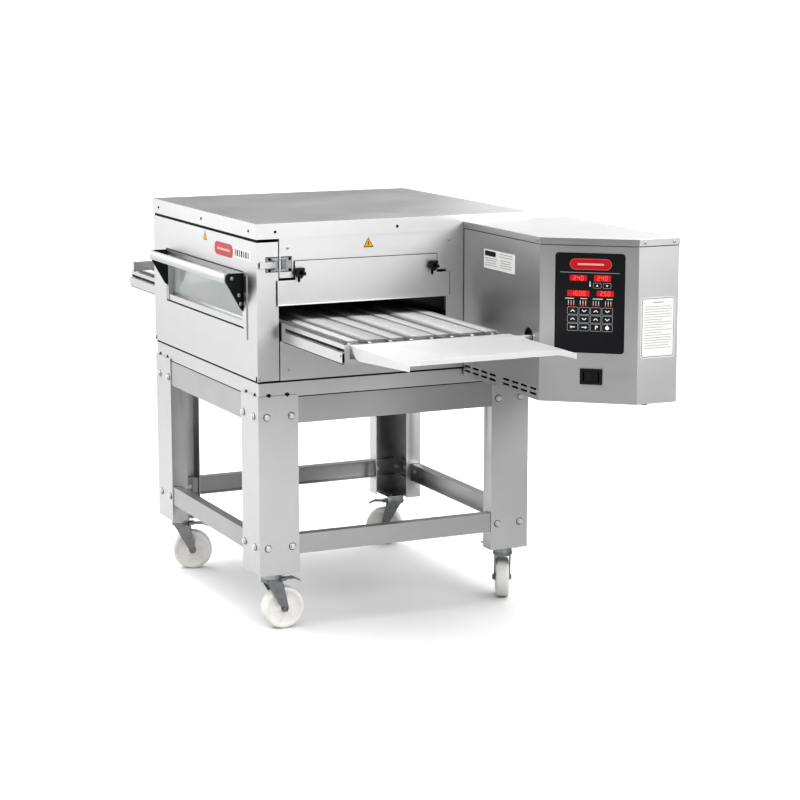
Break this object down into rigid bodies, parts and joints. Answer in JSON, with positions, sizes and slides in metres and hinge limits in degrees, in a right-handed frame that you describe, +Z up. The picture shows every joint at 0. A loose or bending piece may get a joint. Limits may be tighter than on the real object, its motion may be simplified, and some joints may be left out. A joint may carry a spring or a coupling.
{
  "type": "conveyor pizza oven",
  "caption": "Free-standing conveyor pizza oven on a wheeled stand, with a drop-down front door, viewing hatch, wire belt, exit tray and side control box",
  "frame": {"origin": "middle of the footprint at floor level, where the wheels touch", "axes": "+X is the way the belt travels, towards the exit tray and control box; -Y is the front with the big door; +Z is up"},
  "size_m": [2.295, 1.11, 1.266],
  "materials": {
    "stainless_sheet": "fine brushed grain, light from cleaning",
    "liner_sheet": "duller brushed sheet, slightly heat tinted",
    "belt_wire": "bright round wire, flattened into a sheet here",
    "zinc_steel": "bright zinc plate on pressings, pins and screws",
    "black_enamel": "satin black enamel",
    "black_plastic": "moulded black plastic",
    "keypad_film": "printed polyester film",
    "white_nylon": "moulded nylon wheel",
    "window_glass": "tempered glass, grey from heat",
    "mineral_wool": "yellow-brown wool slab",
    "heater_sheath": "heat-browned tube",
    "motor_paint": "grey machine paint",
    "chain_steel": "oiled roller chain",
    "circuit_board": "green lacquered board"
  },
  "bodies": {
    "stand_and_casing": {"stand_legs": "stainless_sheet", "stand_rails": "liner_sheet", "fasteners": "zinc_steel", "caster_plates": "zinc_steel", "base_tray": "stainless_sheet", "top_cover": "stainless_sheet", "exit_end_panel": "stainless_sheet", "entry_end_panel": "stainless_sheet", "back_panel": "stainless_sheet", "chamber_liner": "liner_sheet", "insulation": "mineral_wool", "air_ducts": "liner_sheet", "heaters": "heater_sheath", "fan_motor": "motor_paint", "door_hinges": "zinc_steel", "latch_keepers": "zinc_steel", "conveyor_frame": "stainless_sheet", "belt": "belt_wire", "control_housing": "stainless_sheet", "control_lid": "stainless_sheet", "keypad_film": "keypad_film", "switch_bezel": "black_plastic", "gear_motor": "motor_paint", "drive_chain": "chain_steel", "control_board": "circuit_board", "supply_gland": "black_plastic"},
    "door": {"front_door": "stainless_sheet", "door_liner": "liner_sheet", "latch_bases": "zinc_steel"},
    "hatch": {"hatch_frame": "black_enamel", "hatch_glass": "window_glass", "hatch_handle": "stainless_sheet"},
    "exit_tray": {"exit_tray": "stainless_sheet"},
    "latch_lever_exit": {"latch_lever_exit": "stainless_sheet"},
    "latch_lever_entry": {"latch_lever_entry": "stainless_sheet"},
    "latch_bail_exit": {"latch_bail_exit": "zinc_steel"},
    "latch_bail_entry": {"latch_bail_entry": "zinc_steel"},
    "exit_baffle": {"exit_baffle": "stainless_sheet"},
    "entry_baffle": {"entry_baffle": "stainless_sheet"},
    "knob_exit_front": {"knob_exit_front": "black_plastic"},
    "knob_exit_back": {"knob_exit_back": "black_plastic"},
    "knob_entry_front": {"knob_entry_front": "black_plastic"},
    "knob_entry_back": {"knob_entry_back": "black_plastic"},
    "drive_shaft": {"drive_shaft": "zinc_steel"},
    "idler_shaft": {"idler_shaft": "zinc_steel"},
    "motor_sprocket": {"motor_sprocket": "zinc_steel"},
    "fan_wheel": {"fan_wheel": "liner_sheet"},
    "power_switch": {"power_switch": "black_plastic"},
    "fork_front_exit": {"fork_front_exit": "zinc_steel"},
    "wheel_front_exit": {"wheel_front_exit": "white_nylon"},
    "brake_front_exit": {"brake_front_exit": "zinc_steel"},
    "fork_front_entry": {"fork_front_entry": "zinc_steel"},
    "wheel_front_entry": {"wheel_front_entry": "white_nylon"},
    "brake_front_entry": {"brake_front_entry": "zinc_steel"},
    "fork_rear_exit": {"fork_rear_exit": "zinc_steel"},
    "wheel_rear_exit": {"wheel_rear_exit": "white_nylon"},
    "brake_rear_exit": {"brake_rear_exit": "zinc_steel"},
    "fork_rear_entry": {"fork_rear_entry": "zinc_steel"},
    "wheel_rear_entry": {"wheel_rear_entry": "white_nylon"},
    "brake_rear_entry": {"brake_rear_entry": "zinc_steel"}
  },
  "joints": [
    {"name": "door_swing", "type": "hinge", "parent": "stand_and_casing", "child": "door", "pos_m": [-0.2085, -0.488, 0.796], "axis": [1, 0, 0], "range_deg": [0, 90]},
    {"name": "hatch_swing", "type": "hinge", "parent": "door", "child": "hatch", "pos_m": [-0.2085, -0.488, 0.946], "axis": [1, 0, 0], "range_deg": [0, 90]},
    {"name": "latch_exit_swing", "type": "hinge", "parent": "door", "child": "latch_lever_exit", "pos_m": [0.2715, -0.437, 1.142], "axis": [0, 0, 1], "range_deg": [0, 150]},
    {"name": "latch_entry_swing", "type": "hinge", "parent": "door", "child": "latch_lever_entry", "pos_m": [-0.6885, -0.437, 1.142], "axis": [0, 0, -1], "range_deg": [0, 150]},
    {"name": "bail_exit_swing", "type": "hinge", "parent": "latch_lever_exit", "child": "latch_bail_exit", "pos_m": [0.2715, -0.447, 1.142], "axis": [0, 0, 1], "range_deg": [-150, 0]},
    {"name": "bail_entry_swing", "type": "hinge", "parent": "latch_lever_entry", "child": "latch_bail_entry", "pos_m": [-0.6885, -0.447, 1.142], "axis": [0, 0, -1], "range_deg": [-150, 0]},
    {"name": "exit_baffle_lift", "type": "slide", "parent": "stand_and_casing", "child": "exit_baffle", "axis": [0, 0, 1], "range_m": [-0.008, 0.026]},
    {"name": "entry_baffle_lift", "type": "slide", "parent": "stand_and_casing", "child": "entry_baffle", "axis": [0, 0, 1], "range_m": [-0.008, 0.026]},
    {"name": "knob_exit_front_turn", "type": "hinge", "parent": "stand_and_casing", "child": "knob_exit_front", "pos_m": [0.2775, -0.36, 1.116], "axis": [1, 0, 0], "continuous": true},
    {"name": "knob_exit_back_turn", "type": "hinge", "parent": "stand_and_casing", "child": "knob_exit_back", "pos_m": [0.2775, 0.085, 1.116], "axis": [1, 0, 0], "continuous": true},
    {"name": "knob_entry_front_turn", "type": "hinge", "parent": "stand_and_casing", "child": "knob_entry_front", "pos_m": [-0.6945, -0.36, 1.116], "axis": [-1, 0, 0], "continuous": true},
    {"name": "knob_entry_back_turn", "type": "hinge", "parent": "stand_and_casing", "child": "knob_entry_back", "pos_m": [-0.6945, 0.085, 1.116], "axis": [-1, 0, 0], "continuous": true},
    {"name": "drive_shaft_turn", "type": "hinge", "parent": "stand_and_casing", "child": "drive_shaft", "pos_m": [0.7095, -0.165, 0.944], "axis": [0, 1, 0], "continuous": true},
    {"name": "idler_shaft_turn", "type": "hinge", "parent": "stand_and_casing", "child": "idler_shaft", "pos_m": [-1.0975, -0.165, 0.944], "axis": [0, 1, 0], "continuous": true},
    {"name": "motor_sprocket_turn", "type": "hinge", "parent": "stand_and_casing", "child": "motor_sprocket", "pos_m": [0.7095, 0.23, 0.846], "axis": [0, 1, 0], "continuous": true},
    {"name": "fan_wheel_turn", "type": "hinge", "parent": "stand_and_casing", "child": "fan_wheel", "pos_m": [-0.2085, 0.205, 1], "axis": [0, 1, 0], "continuous": true},
    {"name": "caster_front_exit_swivel", "type": "hinge", "parent": "stand_and_casing", "child": "fork_front_exit", "pos_m": [0.2055, -0.437, 0.16], "axis": [0, 0, 1], "continuous": true},
    {"name": "caster_front_exit_roll", "type": "hinge", "parent": "fork_front_exit", "child": "wheel_front_exit", "pos_m": [0.2055, -0.399, 0.066], "axis": [-1, 0, 0], "continuous": true},
    {"name": "caster_front_exit_brake", "type": "hinge", "parent": "fork_front_exit", "child": "brake_front_exit", "pos_m": [0.2055, -0.397, 0.156], "axis": [-1, 0, 0], "range_deg": [0, 20]},
    {"name": "caster_front_entry_swivel", "type": "hinge", "parent": "stand_and_casing", "child": "fork_front_entry", "pos_m": [-0.6225, -0.437, 0.16], "axis": [0, 0, 1], "continuous": true},
    {"name": "caster_front_entry_roll", "type": "hinge", "parent": "fork_front_entry", "child": "wheel_front_entry", "pos_m": [-0.6095, -0.40129, 0.066], "axis": [-0.9397, 0.342, 0], "continuous": true},
    {"name": "caster_front_entry_brake", "type": "hinge", "parent": "fork_front_entry", "child": "brake_front_entry", "pos_m": [-0.60882, -0.39941, 0.156], "axis": [-0.9397, 0.342, 0], "range_deg": [0, 20]},
    {"name": "caster_rear_exit_swivel", "type": "hinge", "parent": "stand_and_casing", "child": "fork_rear_exit", "pos_m": [0.2055, 0.371, 0.16], "axis": [0, 0, 1], "continuous": true},
    {"name": "caster_rear_exit_roll", "type": "hinge", "parent": "fork_rear_exit", "child": "wheel_rear_exit", "pos_m": [0.17106, 0.38706, 0.066], "axis": [-0.4226, -0.9063, 0], "continuous": true},
    {"name": "caster_rear_exit_brake", "type": "hinge", "parent": "fork_rear_exit", "child": "brake_rear_exit", "pos_m": [0.16925, 0.3879, 0.156], "axis": [-0.4226, -0.9063, 0], "range_deg": [0, 20]},
    {"name": "caster_rear_entry_swivel", "type": "hinge", "parent": "stand_and_casing", "child": "fork_rear_entry", "pos_m": [-0.6225, 0.371, 0.16], "axis": [0, 0, 1], "continuous": true},
    {"name": "caster_rear_entry_roll", "type": "hinge", "parent": "fork_rear_entry", "child": "wheel_rear_entry", "pos_m": [-0.6415, 0.33809, 0.066], "axis": [0.866, -0.5, 0], "continuous": true},
    {"name": "caster_rear_entry_brake", "type": "hinge", "parent": "fork_rear_entry", "child": "brake_rear_entry", "pos_m": [-0.6425, 0.33636, 0.156], "axis": [0.866, -0.5, 0], "range_deg": [0, 20]},
    {"name": "power_switch_rock", "type": "hinge", "parent": "stand_and_casing", "child": "power_switch", "pos_m": [0.8523, 0.3204, 0.84], "axis": [0, 0, 1], "range_deg": [-10, 0]},
    {"name": "exit_tray_lift", "type": "slide", "parent": "stand_and_casing", "child": "exit_tray", "axis": [0, 0, 1], "range_m": [0, 0.08]}
  ],
  "couplings": [
    {"joint": "bail_exit_swing", "follows": "latch_exit_swing", "ratio": -1},
    {"joint": "bail_entry_swing", "follows": "latch_entry_swing", "ratio": -1},
    {"joint": "idler_shaft_turn", "follows": "drive_shaft_turn", "ratio": 1},
    {"joint": "motor_sprocket_turn", "follows": "drive_shaft_turn", "ratio": 1}
  ]
}
